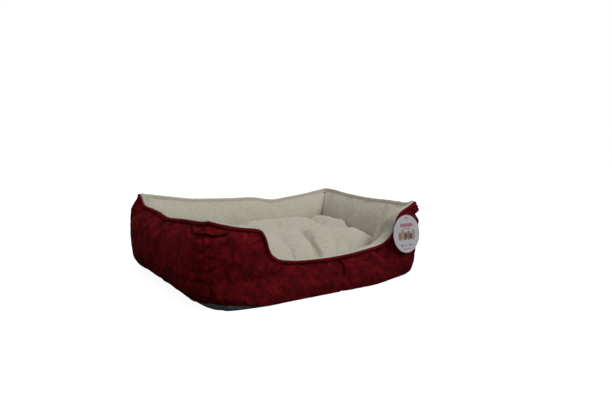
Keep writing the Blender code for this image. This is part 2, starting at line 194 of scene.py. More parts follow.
def place(side, share, out, height):
    """Points of a section in space, with the plan's corners rounded less towards the rim."""
    half, across = HALVES[side]
    along = share * (half + out)
    far = across + out
    past_end = np.abs(along) - (half - CORNER_RADIUS)
    past_centre = far - (across - CORNER_RADIUS)
    ear = np.where(share < 0, RIMS[side][0][1], RIMS[side][-1][1])
    rounding = 1 - EAR_POINT * np.clip(height / ear, 0, 1) ** 4
    turning = (past_end > 0) & (past_centre > 0)
    reach = np.hypot(np.where(turning, past_end, 1), np.where(turning, past_centre, 1))
    circle = np.maximum(past_end, past_centre) / reach
    factor = np.where(turning, 1 + rounding * (circle - 1), 1)
    ends = np.sign(along) * (half - CORNER_RADIUS + past_end * factor)
    along = np.where(turning, ends, along)
    far = np.where(turning, across - CORNER_RADIUS + past_centre * factor, far)
    x, y = {
        "front": (along, -far),
        "right": (far, along),
        "back": (-along, far),
        "left": (-far, -along),
    }[side]
    forward = smooth((-y - HALF_WIDTH + LEAN_REACH) / LEAN_REACH)
    low = np.clip(1 - height / FRONT_LEAN_TOP, 0, 1) ** 1.3
    fade = 1 - 0.75 * smooth((x - 0.10) / 0.19)
    stretch = BACK_RIGHT_PULL * np.exp(-((x - 0.27) ** 2 + (y - 0.17) ** 2) / 0.06**2)
    return np.stack([x + stretch, y - FRONT_LEAN * forward * low * fade, height + 0 * x], -1)


class Strips:
    """The strips of one side: a grid of (position along, position down), with what the shaping
    functions need to know about each point."""

    def __init__(self, side, flange, wall, spacing, foot):
        half = HALVES[side][0]
        rim = even(spline(RIMS[side]), spacing)
        run = np.concatenate([[0], np.cumsum(np.linalg.norm(np.diff(rim, axis=0), axis=1))])
        along, top = rim[:, :1], rim[:, 1:]
        to_corner = half - np.abs(along)
        slope = np.gradient(rim, axis=0)
        slope /= np.linalg.norm(slope, axis=1, keepdims=True)
        down = np.stack([slope[:, 1], -slope[:, 0]], 1)
        upright = 1 - smooth(to_corner / 0.030)
        down = down * (1 - upright) + np.array([0.0, -1.0]) * upright
        down /= np.linalg.norm(down, axis=1, keepdims=True)

        foot_along = (-1 + 2 * run[:, None] / run[-1]) * half
        if side == "front":
            foot_along = foot_along - 0.016 * bump(along - SEAM_X, 0.10)
        foot_z = foot(side, foot_along)
        start = rim + FLANGE * down
        reach = np.hypot(foot_along - start[:, :1], foot_z - start[:, 1:])
        first = start + np.minimum(0.3 * reach, 0.020) * down
        last = np.hstack([foot_along, foot_z + 0.35 * reach])
        end = np.hstack([foot_along, foot_z])

        flange_line = even(spline(flange), spacing * 0.8, (FLANGE, 1.0))
        wall_line = even(spline(wall), spacing, (0.15, 1.0))[1:]
        t = np.clip(wall_line[:, 0], 0, 1)[None, :, None]
        path = (
            start[:, None] * (1 - t) ** 3
            + 3 * first[:, None] * t * (1 - t) ** 2
            + 3 * last[:, None] * t**2 * (1 - t)
            + end[:, None] * t**3
        )
        if side == "front":
            path[..., 0] += 0.048 * (t * (1 - t))[..., 0] * bump(along - SEAM_X, 0.13)
        over = rim[:, None] + FLANGE * down[:, None] * flange_line[None, :, :1]
        grid = np.concatenate([over, path], axis=1)
        self.side = side
        self.flange_rows = len(flange_line)
        self.along, self.height = grid[..., 0], grid[..., 1]
        self.share = self.along / half
        self.share[0], self.share[-1] = -1.0, 1.0
        self.corner = half - np.abs(self.along)
        self.corner[0] = self.corner[-1] = 0.0
        round_corner = {"front": -SEAM_ROUND, "left": SEAM_ROUND}.get(side, 0.0)
        by_seam = self.share * (1 if side == "left" else -1) > 0
        self.from_seam = np.abs(self.corner + np.where(by_seam, round_corner, 0.0))
        self.down = np.concatenate([flange_line[:, 0] - 1, wall_line[:, 0]])[None] + 0 * self.along
        self.drop = top - self.height
        self.rim_along = along + 0 * self.along
        self.rim_top = top + 0 * self.along
        wall_size = np.clip(top / 0.160, 0.55, 1.15)
        on_wall = self.down > 0
        outs = np.concatenate([flange_line[:, 1], wall_line[:, 1]])[None]
        self.out = outs * np.where(on_wall, wall_size, 1.0)
        near = np.minimum((half + along) ** 2, (half - along) ** 2)
        first_flare, last_flare = EAR_FLARES[side]
        flare = np.where(along < 0, first_flare, last_flare) * np.exp(-near / 0.055**2)
        self.out = self.out + flare * (1 - np.clip(self.down, 0, 1)) ** 1.5

    def points(self):
        return place(self.side, self.share, self.out, self.height)


def closed_cloth(name, grid, normals, thickness, material):
    """A closed body from a grid of points on its face, with its back a thickness behind."""
    rows, columns = grid.shape[:2]
    back = grid - normals * thickness
    back[..., 2] = np.maximum(back[..., 2], 0.0)
    vertices = np.concatenate([grid.reshape(-1, 3), back.reshape(-1, 3)])
    index = np.arange(rows * columns).reshape(rows, columns)
    a, b, c, d = index[:-1, :-1], index[1:, :-1], index[1:, 1:], index[:-1, 1:]
    face = np.stack([a, b, c, d], -1).reshape(-1, 4)
    behind = face[:, ::-1] + rows * columns
    edge = np.concatenate([index[:, 0], index[-1, 1:], index[-2::-1, -1], index[0, -2:0:-1]])
    following = np.roll(edge, -1)
    rim = np.stack([following, edge, edge + rows * columns, following + rows * columns], -1)
    cloth = new_mesh(name, vertices, np.concatenate([face, behind, rim]), material)
    cloth.data.set_sharp_from_angle(angle=math.radians(55))
    return cloth


def new_mesh(name, vertices, faces, material):
    mesh = bpy.data.meshes.new(name)
    mesh.from_pydata(np.asarray(vertices).tolist(), [], [list(map(int, face)) for face in faces])
    bm = bmesh.new()
    bm.from_mesh(mesh)
    bmesh.ops.recalc_face_normals(bm, faces=bm.faces)
    if bm.calc_volume(signed=True) < 0:
        bmesh.ops.reverse_faces(bm, faces=bm.faces)
    bm.to_mesh(mesh)
    bm.free()
    mesh.shade_smooth()
    mesh.materials.append(material)
    obj = bpy.data.objects.new(name, mesh)
    bpy.context.scene.collection.objects.link(obj)
    return obj


def face_normals(grid, closed):
    """Normals of a grid of points, of which the first axis may run round a closed loop."""
    if closed:
        across = np.roll(grid, -1, axis=0) - np.roll(grid, 1, axis=0)
    else:
        across = np.gradient(grid, axis=0)
    normal = np.cross(np.gradient(grid, axis=1), across)
    return normal / (np.linalg.norm(normal, axis=2, keepdims=True) + 1e-12)


def push(grid, amount, closed=True):
    return grid + face_normals(grid, closed) * amount[..., None]


def grid_noise(grid, size, seed):
    return noise(grid.reshape(-1, 3), size, seed).reshape(grid.shape[:2])


class Loop:
    """The strips of all four sides joined into one closed loop."""

    def __init__(self, sides):
        self.sides = sides
        self.down = self.joined([strips.down for strips in sides])
        self.corner = self.joined([strips.corner for strips in sides])
        self.from_seam = self.joined([strips.from_seam for strips in sides])
        self.rim_along = self.joined([strips.rim_along for strips in sides])
        self.is_front = self.joined([0 * strips.down + (strips.side == "front") for strips in sides])
        self.starts = np.cumsum([0] + [len(strips.down) - 1 for strips in sides])
        self.grid = self.joined([strips.points() for strips in sides])

    @staticmethod
    def joined(fields):
        return np.concatenate([field[:-1] for field in fields])

    def part(self, grid, number):
        """One side's share of a grid, with both its corners."""
        closed = np.concatenate([grid, grid[:1]])
        return closed[self.starts[number] : self.starts[number + 1] + 1]


# Cloth simulation


def settle(vertices, faces, pinned, grow, pressure, cap, frames=20):
    """Where a cloth's points go when its filling presses on it: pinned points stay, the cloth is
    a share larger than its rest shape, and no point moves further than cap."""
    vertices = np.asarray(vertices, float)
    mesh = bpy.data.meshes.new("cloth")
    mesh.from_pydata(vertices.tolist(), [], [list(map(int, face)) for face in faces])
    obj = bpy.data.objects.new("cloth", mesh)
    bpy.context.scene.collection.objects.link(obj)
    group = obj.vertex_groups.new(name="pin")
    for index in np.flatnonzero(pinned > 0.001):
        group.add([int(index)], float(pinned[index]), "REPLACE")
    cloth = obj.modifiers.new("cloth", "CLOTH")
    settings = cloth.settings
    settings.quality = 6
    settings.mass = 0.15
    settings.tension_stiffness = 14
    settings.compression_stiffness = 14
    settings.shear_stiffness = 5
    settings.bending_stiffness = 0.25
    settings.tension_damping = 8
    settings.compression_damping = 8
    settings.shear_damping = 5
    settings.air_damping = 2
    settings.vertex_group_mass = "pin"
    settings.pin_stiffness = 8
    settings.use_pressure = True
    settings.uniform_pressure_force = pressure
    settings.shrink_min = -grow
    settings.shrink_max = -grow
    settings.effector_weights.gravity = 0
    cloth.collision_settings.use_collision = False
    scene = bpy.context.scene
    for number in range(1, frames + 1):
        scene.frame_set(number)
    evaluated = obj.evaluated_get(bpy.context.evaluated_depsgraph_get())
    moved = at_vertices(evaluated.data, "co")
    bpy.data.objects.remove(obj)
    scene.frame_set(1)
    step = moved - vertices
    size = np.linalg.norm(step, axis=1, keepdims=True)
    return vertices + step * (cap * np.tanh(size / cap) / np.maximum(size, 1e-9))


def settle_loop(grid, pinned, grow, pressure, cap):
    """A loop's grid after settle(), which runs on every second point."""
    count, rows = grid.shape[:2]
    columns = np.arange(0, count, 2)
    levels = np.unique(np.append(np.arange(0, rows, 2), rows - 1))
    coarse = grid[np.ix_(columns, levels)]
    index = np.arange(coarse.shape[0] * coarse.shape[1]).reshape(coarse.shape[:2])
    after = np.roll(index, -1, axis=0)
    faces = np.stack([index[:, :-1], index[:, 1:], after[:, 1:], after[:, :-1]], -1).reshape(-1, 4)
    flat = coarse.reshape(-1, 3)
    moved = settle(flat, faces, pinned[np.ix_(columns, levels)].reshape(-1), grow, pressure, cap)
    step = (moved - flat).reshape(coarse.shape)
    wrapped = np.concatenate([step, step[:1]])
    at = np.append(columns, count)
    tall = np.empty((count, len(levels), 3))
    for level in range(len(levels)):
        for axis in range(3):
            tall[:, level, axis] = np.interp(np.arange(count), at, wrapped[:, level, axis])
    full = np.empty(grid.shape)
    for column in range(count):
        for axis in range(3):
            full[column, :, axis] = np.interp(np.arange(rows), levels, tall[column, :, axis])
    return grid + full


# Outer fabric


def outer_foot(side, along):
    """The outer fabric's lower edge, which lifts off the floor at the front left corner."""
    lift = np.zeros_like(along)
    if side == "front":
        lift = FOOT_LIFT * (1 - smooth((along + 0.262) / 0.090))
    if side == "left":
        lift = FOOT_LIFT * smooth((along - 0.130) / 0.050)
    return WALL_BOTTOM + lift


def corner_creases(strips):
    """The pull lines across the corner seams and the creases under the ears, as out offsets."""
    out = np.zeros_like(strips.out)
    wall = smooth(strips.down / 0.05)
    height, corner = strips.height, strips.corner
    grip = 0.0004 * bump(strips.from_seam, 0.0035) + 0.0018 * bump(strips.from_seam, 0.022)
    out -= grip * wall * smooth((1.02 - strips.down) / 0.10)
    for end, lines in corner_lines(strips.side):
        near = strips.share * end > 0
        for level, reach, depth, tilt in lines:
            line = level + tilt * corner + 0.002 * np.sin(corner * 160 + level * 900)
            fold = bump(height - line, 0.0026) - 0.55 * bump(height - line - 0.0065, 0.0045)
            fade = 1 - smooth((corner - 0.3 * reach) / (0.8 * reach))
            out -= np.where(near, 0.95 * depth * fold * fade, 0) * wall
    return out


def corner_lines(side):
    """Pull lines at each end of a side: height, reach along the side, depth and tilt."""
    few = ((0.128, 0.030, 0.0009, 0.05), (0.096, 0.036, 0.0014, -0.10), (0.061, 0.030, 0.0013, 0.06))
    return {
        "front": (
            (-1, ((0.124, 0.016, 0.0014, 0.1), (0.099, 0.034, 0.0030, 0.20), (0.071, 0.050, 0.0030, 0.42))),
            (1, ((0.118, 0.024, 0.0016, -0.1), (0.082, 0.034, 0.0022, 0.15), (0.048, 0.030, 0.0018, 0.1))),
        ),
        "left": (
            (1, (
                (0.133, 0.028, 0.0022, 0.06), (0.113, 0.062, 0.0032, -0.04), (0.092, 0.052, 0.0026, 0.05),
                (0.076, 0.046, 0.0022, 0.0), (0.055, 0.068, 0.0034, -0.05),
            )),
            (-1, few),
        ),
        "right": ((-1, few), (1, few)),
        "back": ((-1, few), (1, few)),
    }[side]  # fmt: skip


def smile_crease(strips):
    """The crease that runs round the front left corner a little below the rim."""
    end = {"front": -1, "left": 1}.get(strips.side)
    if end is None:
        return np.zeros_like(strips.out)
    reach = 0.050 if strips.side == "front" else 0.066
    rise = 0.016 if strips.side == "front" else 0.012
    corner = np.where(strips.share * end > 0, strips.corner, 1.0)
    line = 0.028 - rise * (corner / reach) ** 2
    fade = 1 - smooth((corner - reach * 0.72) / (reach * 0.38))
    below = strips.drop - line
    crease = 0.0115 * bump(below, 0.0042)
    swell = 0.0036 * bump(below - 0.013, 0.009) + 0.0022 * bump(below + 0.009, 0.005)
    return (swell - crease) * fade


def bottom_tuck(strips):
    """The fold beside the foot of the front left corner seam."""
    if strips.side == "front":
        corner = np.where(strips.share < 0, strips.corner, 1.0)
        line = 0.003 + 0.30 * np.clip(0.052 - strips.height, 0, 1)
        low = smooth((0.058 - strips.height) / 0.025)
        fold = bump(corner - line, 0.0034) - 0.5 * bump(corner - line - 0.010, 0.007)
        return -0.0055 * fold * low
    if strips.side == "left":
        corner = np.where(strips.share > 0, strips.corner, 1.0)
        near = 1 - smooth((corner - 0.030) / 0.030)
        level = 0.021 + 0.05 * corner
        fold = bump(strips.height - level, 0.0026) - 0.6 * bump(strips.height - level - 0.008, 0.006)
        return -0.0045 * fold * near
    return np.zeros_like(strips.out)


def right_ear(strips):
    """The front right ear: its tip stands out and the fabric nips in below it."""
    end = {"front": 1, "right": -1}.get(strips.side)
    if end is None:
        return np.zeros_like(strips.out)
    near = np.where(strips.share * end > 0, bump(strips.corner, 0.024), 0)
    tip = 0.0026 * bump(strips.height - 0.172, 0.010)
    nip = 0.0090 * bump(strips.height - 0.152, 0.008)
    return near * (tip - nip)


def ear_folds(strips):
    """Fills the groove under the rim at the front right and back left ears, where it is pulled flat."""
    end = {"front": 1, "right": -1, "back": 1, "left": -1}[strips.side]
    near = np.where(strips.share * end > 0, bump(strips.corner, 0.020), 0)
    return 0.0036 * near * bump(strips.drop - FLANGE, 0.0034)


# How far each side's bulge goes, at its first corner, its middle and its last corner
FULLNESS = {
    "front": (1.00, 0.84, 0.93),
    "right": (0.93, 0.93, 0.95),
    "back": (0.95, 0.95, 1.36),
    "left": (1.36, 1.05, 1.00),
}
FULLNESS_REACH = {"front": 0.07, "right": 0.07, "back": 0.10, "left": 0.12}


def fullness(strips):
    first, middle, last = FULLNESS[strips.side]
    near = 1 - smooth(strips.corner / FULLNESS_REACH[strips.side])
    return middle + (np.where(strips.share < 0, first, last) - middle) * near


def fuller(strips):
    """How much further out the bulge is; where it is fuller it comes on slowly below the rim."""
    more = fullness(strips) - 1
    return more * np.where(more > 0, smooth(strips.down / 0.50), smooth(strips.down / 0.06))


def tag_frame():
    """The card's middle, its right, up and facing directions, and its radius."""
    points = np.array([vertex.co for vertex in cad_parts["hang_tag"].data.vertices], float)
    centre = (points.max(0) + points.min(0)) / 2
    _, _, axes = np.linalg.svd(points - points.mean(0), full_matrices=False)
    facing = axes[2] * (-1 if axes[2][1] > 0 else 1)
    right = np.array([1.0, 0.0, 0.0])
    up = np.cross(right, facing)
    up = up * (1 if up[2] > 0 else -1)
    return centre, right, up, facing, (points[:, 0].max() - points[:, 0].min()) / 2


def behind_tag(grid):
    """The outer fabric kept clear of the hang tag at every angle it swings to."""
    middle, _, _, front, radius = tag_frame()
    for angle in TAG_SWINGS:
        turn = np.array(Matrix.Rotation(math.radians(angle), 3, "Y"))
        centre, facing = TAG_HINGE + turn @ (middle - TAG_HINGE), turn @ front
        offset = grid - centre
        height = offset @ facing
        aside = np.linalg.norm(offset - height[..., None] * facing, axis=-1)
        near = 1 - smooth((aside - radius - 0.006) / 0.018)
        gap = TAG_CLEARANCE + PIN_CLEARANCE * bump(np.linalg.norm(grid - TAG_HINGE, axis=-1), 0.016)
        over = np.maximum(0, height + gap) * near
        grid = grid - over[..., None] * facing
    return grid


def shape_outer():
    sides = []
    for side in SIDES:
        strips = Strips(side, OUTER_FLANGE, OUTER_WALL, 0.0027, outer_foot)
        strips.out = strips.out * (1 + fuller(strips))
        strips.out = strips.out + corner_creases(strips) + smile_crease(strips)
        strips.out = strips.out + bottom_tuck(strips) + right_ear(strips) + ear_folds(strips)
        sides.append(strips)
    loop = Loop(sides)
    grid = loop.grid
    on_wall = smooth(loop.down / 0.06)
    middle = on_wall * smooth((1 - loop.down) / 0.10)
    lumps = 0.0028 * grid_noise(grid, 0.085, 3) + 0.0014 * grid_noise(grid, 0.040, 4)
    sag = 0.0004 * grid_noise(grid * np.array([2.0, 2.0, 0.7]), 0.055, 5)
    grid = push(grid, (lumps + sag) * middle)
    pinned = np.where((loop.down <= 0.002) | (loop.down > 0.985), 1.0, 0.0)
    grid = behind_tag(settle_loop(grid, pinned, 0.030, 3.0, 0.005))
    run = np.cumsum(np.linalg.norm(grid - np.roll(grid, 1, axis=0), axis=2), axis=0)
    puckers = 0.0007 * np.sin(run / 0.0052 + 2.0 * grid_noise(grid, 0.03, 8))
    by_rim = bump(loop.down - 0.03, 0.05) * on_wall
    by_foot = bump(loop.down - 0.96, 0.05)
    from_seam = np.where(loop.is_front > 0, loop.rim_along - SEAM_X, 1.0)
    seam = -0.0044 * bump(from_seam, 0.0026) - 0.0018 * bump(from_seam, 0.014)
    seam = seam - 0.0006 * bump(loop.from_seam, 0.0030) * on_wall
    ripple = 0.0005 * grid_noise(grid, 0.012, 6) * middle
    roll = 0.0005 * grid_noise(grid, 0.018, 9) * (1 - on_wall)
    grid = push(grid, puckers * (by_rim + 0.3 * by_foot) + seam + ripple + roll)
    grid[..., 2] = np.maximum(grid[..., 2], 0.0)
    return loop, grid


def build_outer(material):
    loop, grid = shape_outer()
    normals = face_normals(grid, True)
    around = loop.part(loop.rim_along, 0)[:-1, 0]
    corner = int(np.argmin(np.abs(around + HALF_LENGTH - SEAM_ROUND)))
    seam = int(np.argmin(np.abs(around - SEAM_X)))
    cuts = [corner, seam, *loop.starts[1:4], len(grid) + corner]
    names = ("front_left_cover", "front_right_cover", "right_cover", "back_cover", "left_cover")
    pieces = []
    for name, first, last in zip(names, cuts, cuts[1:]):
        at = np.arange(first, last + 1) % len(grid)
        pieces.append(closed_cloth(name, grid[at], normals[at], COVER_THICKNESS, material))
    return pieces, grid[:, -1]


# Lining


def lining_foot(_, along):
    return FLOOR_TOP - 0.004 + 0 * along


def shape_lining():
    sides = []
    for side in SIDES:
        strips = Strips(side, LINING_FLANGE, LINING_WALL, 0.0022, lining_foot)
        on_wall = smooth(strips.down / 0.05)
        if side == "front":
            along = strips.rim_along
            widen = smooth((along + 0.16) / 0.06) * (1 - smooth((along - 0.195) / 0.085))
            wide = 0.0030 + 0.0150 * smooth(along / 0.15)
            top = smooth((0.35 - strips.down) / 0.35) * smooth((strips.down + 1.12) / 0.6)
            strips.out = strips.out - widen * wide * top
        if side == "right":
            strips.out = strips.out * (1 - 0.20 * on_wall)
        seam = 0.0060 * bump(strips.corner, 0.0065) + 0.0050 * bump(strips.corner, 0.022)
        soft_end = {"front": 1, "right": -1}.get(side, 0)
        seam = seam * np.where(strips.share * soft_end > 0, 0.3, 1.0)
        strips.out = strips.out + seam * on_wall * (1 - 0.75 * np.clip(strips.down, 0, 1))
        sides.append(strips)
    loop = Loop(sides)
    grid = loop.grid
    on_wall = smooth(loop.down / 0.05)
    lumps = 0.0020 * grid_noise(grid, 0.080, 11) + 0.0009 * grid_noise(grid, 0.035, 12)
    grid = push(grid, -lumps * on_wall * smooth((1 - loop.down) / 0.10))
    held = (loop.down <= 0.002) | (loop.down > 0.985) | (loop.corner < 0.003)
    grid = settle_loop(grid, np.where(held, 1.0, 0.0), 0.008, -3.0, 0.004)
    grid = push(grid, -0.0007 * curls(grid.reshape(-1, 3), 13).reshape(grid.shape[:2]))
    return loop, grid


def curls(points, seed):
    """How far the fleece's curls stand out at each point, from -0.5 to 1.1."""
    coarse, fine = noise(points, 0.0080, seed), noise(points, 0.0050, seed + 1)
    return np.clip(0.9 * np.abs(coarse) + 1.1 * np.abs(fine), 0, 1.6) - 0.5


def build_lining(material):
    loop, grid = shape_lining()
    normals = -face_normals(grid, True)
    pieces = []
    for number, side in enumerate(SIDES):
        part, facing = loop.part(grid, number), loop.part(normals, number)
        pieces.append(closed_cloth(f"{side}_fleece", part, facing, FLEECE_THICKNESS, material))
    return pieces, grid[:, -1]


# Materials


def node_material(name):
    material = bpy.data.materials.new(name)
    material.use_nodes = True
    tree = material.node_tree
    shader = tree.nodes["Principled BSDF"]
    where = tree.nodes.new("ShaderNodeTexCoord").outputs["Object"]
    return material, tree, shader, where


def grey(value):
    return (value, value, value)


def set_inputs(node, values):
    for name, value in values.items():
        node.inputs[name].default_value = value


def noise_node(tree, where, scale, detail=3.0, rough=0.55, distortion=0.0):
    node = tree.nodes.new("ShaderNodeTexNoise")
    set_inputs(node, {"Scale": scale, "Detail": detail, "Roughness": rough, "Distortion": distortion})
    tree.links.new(where, node.inputs["Vector"])
    return node.outputs["Fac"]


def ramp(tree, value, stops):
    node = tree.nodes.new("ShaderNodeValToRGB")
    while len(node.color_ramp.elements) < len(stops):
        node.color_ramp.elements.new(0.5)
    for element, (position, colour) in zip(node.color_ramp.elements, stops):
        element.position = position
        element.color = (*colour, 1.0)
    tree.links.new(value, node.inputs["Fac"])
    return node.outputs["Color"]


def mix(tree, kind, factor, one, other):
    node = tree.nodes.new("ShaderNodeMix")
    node.data_type = "RGBA"
    node.blend_type = kind
    sockets = {"Factor": factor, "A": one, "B": other}
    for socket in node.inputs:
        if not socket.enabled or socket.name not in sockets:
            continue
        value = sockets[socket.name]
        if isinstance(value, (int, float)):
            socket.default_value = value
        elif isinstance(value, tuple):
            socket.default_value = (*value, 1.0)
        else:
            tree.links.new(value, socket)
    return next(socket for socket in node.outputs if socket.enabled)


def bumped(tree, shader, height, strength, distance):
    node = tree.nodes.new("ShaderNodeBump")
    set_inputs(node, {"Strength": strength, "Distance": distance})
    tree.links.new(height, node.inputs["Height"])
    tree.links.new(node.outputs["Normal"], shader.inputs["Normal"])


def toned_material(name, tone, dark, light):
    """A material between two shades; tone is its noise's scale, detail and roughness."""
    material, tree, shader, where = node_material(name)
    colour = ramp(tree, noise_node(tree, where, *tone), ((0.3, dark), (0.7, light)))
    tree.links.new(colour, shader.inputs["Base Color"])
    return material, tree, shader, where


def suede_material():
    material, tree, shader, where = node_material("red_suede")
    blotch = noise_node(tree, where, 48, 8, 0.74, 0.3)
    base = ramp(
        tree,
        blotch,
        ((0.32, (0.047, 0.0016, 0.0034)), (0.50, (0.137, 0.0045, 0.0071)), (0.67, (0.268, 0.0105, 0.0145))),
    )
    speck = noise_node(tree, where, 300, 3, 0.6)
    grain = ramp(tree, speck, ((0.30, grey(0.55)), (0.68, grey(1.0))))
    colour = mix(tree, "MULTIPLY", 0.8, base, grain)
    # Painted shade: the suede is darkened towards the floor by height, standing in for the shade on the
    # lower, downward-facing parts of the walls
    axes = tree.nodes.new("ShaderNodeSeparateXYZ")
    tree.links.new(where, axes.inputs["Vector"])
    painted_low_shade = ramp(tree, axes.outputs["Z"], ((0.01, grey(0.62)), (0.06, grey(0.82)), (0.13, grey(1.0))))
    colour = mix(tree, "MULTIPLY", 1.0, colour, painted_low_shade)
    tree.links.new(colour, shader.inputs["Base Color"])
    rough = ramp(tree, blotch, ((0.3, grey(0.80)), (0.7, grey(0.95))))
    tree.links.new(rough, shader.inputs["Roughness"])
    set_inputs(
        shader,
        {
            "Sheen Weight": 0.08,
            "Sheen Roughness": 0.4,
            "Sheen Tint": (0.50, 0.03, 0.04, 1.0),
            "Specular IOR Level": 0.04,
        },
    )
    fuzz = noise_node(tree, where, 1400, 4, 0.7)
    bumped(tree, shader, fuzz, 0.35, 0.0006)
    return material


def fleece_material():
    material, tree, shader, where = node_material("cream_fleece")
    curls = tree.nodes.new("ShaderNodeTexVoronoi")
    curls.inputs["Scale"].default_value = 300
    tree.links.new(where, curls.inputs["Vector"])
    patch = noise_node(tree, where, 150, 5, 0.70)
    base = ramp(
        tree,
        patch,
        ((0.34, (0.490, 0.458, 0.362)), (0.50, (0.522, 0.498, 0.418)), (0.64, (0.550, 0.533, 0.468))),
    )
    # The hollows between the curls are darker and yellower: partly the fleece's own yellower tone, partly
    # painted shade in the hollows
    depth = ramp(tree, curls.outputs["Distance"], ((0.15, grey(1.0)), (0.75, (0.84, 0.81, 0.72))))
    colour = mix(tree, "MULTIPLY", 0.6, base, depth)
    tree.links.new(colour, shader.inputs["Base Color"])
    set_inputs(
        shader,
        {
            "Roughness": 0.95,
            "Sheen Weight": 0.20,
            "Sheen Roughness": 0.6,
            "Sheen Tint": (0.9, 0.88, 0.80, 1.0),
            "Specular IOR Level": 0.1,
        },
    )
    wool = noise_node(tree, where, 700, 4, 0.7, 0.6)
    bumped(tree, shader, wool, 0.45, 0.0010)
    return material


def base_material():
    dark, light = (0.050, 0.050, 0.057), (0.085, 0.085, 0.095)
    material, tree, shader, where = toned_material("grey_base_fabric", (60, 3, 0.6), dark, light)
    shader.inputs["Roughness"].default_value = 0.75
    dots = tree.nodes.new("ShaderNodeTexVoronoi")
    set_inputs(dots, {"Scale": 240, "Randomness": 0.05})
    tree.links.new(where, dots.inputs["Vector"])
    bumped(tree, shader, dots.outputs["Distance"], 0.5, 0.0008)
    return material


def card_material():
    dark, light = (0.58, 0.56, 0.58), (0.64, 0.62, 0.64)
    material, tree, shader, where = toned_material("white_card", (30, 2, 0.5), dark, light)
    set_inputs(shader, {"Roughness": 0.38, "Coat Weight": 0.2})
    fibre = noise_node(tree, where, 900, 2, 0.5)
    bumped(tree, shader, fibre, 0.1, 0.0002)
    return material


def plastic_material():
    material, _, shader, _ = toned_material("clear_plastic", (300, 2, 0.5), grey(0.80), grey(0.90))
    set_inputs(shader, {"Roughness": 0.25, "Transmission Weight": 0.6, "IOR": 1.48})
    return material


def ink_material(name, colour):
    dark = tuple(0.86 * value for value in colour)
    material, _, shader, _ = toned_material(name, (500, 2, 0.5), dark, colour)
    shader.inputs["Roughness"].default_value = 0.42
    return material


# Floor of the bed


def resample_loop(loop, count):
    closed = np.vstack([loop, loop[:1]])
    run = np.concatenate([[0], np.cumsum(np.linalg.norm(np.diff(closed, axis=0), axis=1))])
    at = np.linspace(0, run[-1], count, endpoint=False)
    return np.stack([np.interp(at, run, closed[:, k]) for k in range(3)], 1)


def closed_faces(index):
    """Faces of a closed body: its upper points are rings from the edge to the middle, numbered in
    index, and its lower points follow them in the same order."""
    a, b, total = index[:-1], index[1:], index.size
    upper = np.stack([a, np.roll(a, -1, 1), np.roll(b, -1, 1), b], -1).reshape(-1, 4)
    edge, following = index[0], np.roll(index[0], -1)
    rim = np.stack([following, edge, edge + total, following + total], -1)
    faces = [list(face) for face in np.concatenate([upper, upper[:, ::-1] + total, rim])]
    return faces + [list(index[-1]), list(index[-1][::-1] + total)]


def plate_from(name, loop, rings, bottom, top, material, relief):
    """A closed plate inside a loop, with a shaped upper face, in rings from its edge to its middle."""
    centre = loop.mean(0)
    shares = np.linspace(1, 0.012, rings)[:, None, None]
    flat = (centre + (loop[None] - centre) * shares).reshape(-1, 3)
    upper, lower = flat.copy(), flat.copy()
    edge = np.repeat(np.linspace(0, 1, rings), len(loop))
    upper[:, 2] = top + relief(flat, edge)
    lower[:, 2] = bottom
    faces = closed_faces(np.arange(len(flat)).reshape(rings, len(loop)))
    return new_mesh(name, np.concatenate([upper, lower]), faces, material)


# How far the base's edge is drawn in under the outer fabric, and stays below its foot
BASE_INSET = 0.0034
BASE_BELOW = 0.0022


def build_base_sheet(foot, material):
    """The base's fabric, whose edge rises with the outer fabric's foot."""
    foot = resample_loop(foot, 600)
    for _ in range(6):
        foot = (np.roll(foot, 1, axis=0) + 2 * foot + np.roll(foot, -1, axis=0)) / 4
    lifted = np.clip((foot[:, 2] - WALL_BOTTOM) / 0.010, 0, 1)
    reach = np.hypot(foot[:, 0], foot[:, 1])
    foot[:, :2] *= (1 - BASE_INSET * (1 - lifted) / reach)[:, None]

    def relief(points, edge):
        rim = np.interp(edge, (0, 0.012, 0.03, 1), (1, 1, 0, 0))
        return np.maximum(0.0, np.tile(foot[:, 2], len(points) // len(foot)) - BASE_BELOW) * rim

    return plate_from("base_sheet", foot, 90, 0.0, BASE_THICKNESS, material, relief)


def build_floor_fleece(inner, material):
    """The fleece floor under the loose cushion."""

    def relief(points, _):
        return 0.0012 * np.abs(noise(points, 0.0085, 31)) + 0.001 * noise(points, 0.06, 32)

    low, high = FLOOR_TOP - 0.004, FLOOR_TOP - 0.001
    return plate_from("floor_fleece", resample_loop(inner, 560), 120, low, high, material, relief)


# Cushion


CUSHION_X = 0.2450
CUSHION_BACK = 0.1380
CUSHION_FRONT = -0.1380
CUSHION_CORNER = 0.034
SEAM_RISE = 0.026
CUSHION_SEAM = FLOOR_TOP + SEAM_RISE
CHANNELS = (
    # (points of the plan, depth, half width, how firmly it is sewn down)
    (((0.020, 0.050), (0.110, 0.040), (0.180, 0.014), (0.224, -0.008)), 0.017, 0.0120, 0.6),
    (((-0.200, 0.060), (-0.100, 0.062), (-0.030, 0.058), (0.020, 0.050)), 0.012, 0.0110, 1.0),
    (((0.174, 0.110), (0.171, 0.080), (0.173, 0.036)), 0.013, 0.0100, 0.7),
    (((0.084, 0.008), (0.077, -0.030), (0.061, -0.080), (0.036, -0.140)), 0.021, 0.0075, 1.0),
    (((-0.008, -0.020), (-0.018, -0.065), (-0.040, -0.140)), 0.008, 0.0085, 0.5),
    (((-0.130, 0.110), (-0.126, 0.080), (-0.122, 0.060)), 0.012, 0.0100, 1.0),
    (((-0.112, 0.040), (-0.124, -0.050), (-0.150, -0.130)), 0.012, 0.0100, 1.0),
    (((0.130, -0.073), (0.108, -0.100), (0.083, -0.133)), 0.0055, 0.0050, 0.3),
    (((0.144, -0.112), (0.131, -0.130), (0.118, -0.150)), 0.0050, 0.0050, 0.3),
)


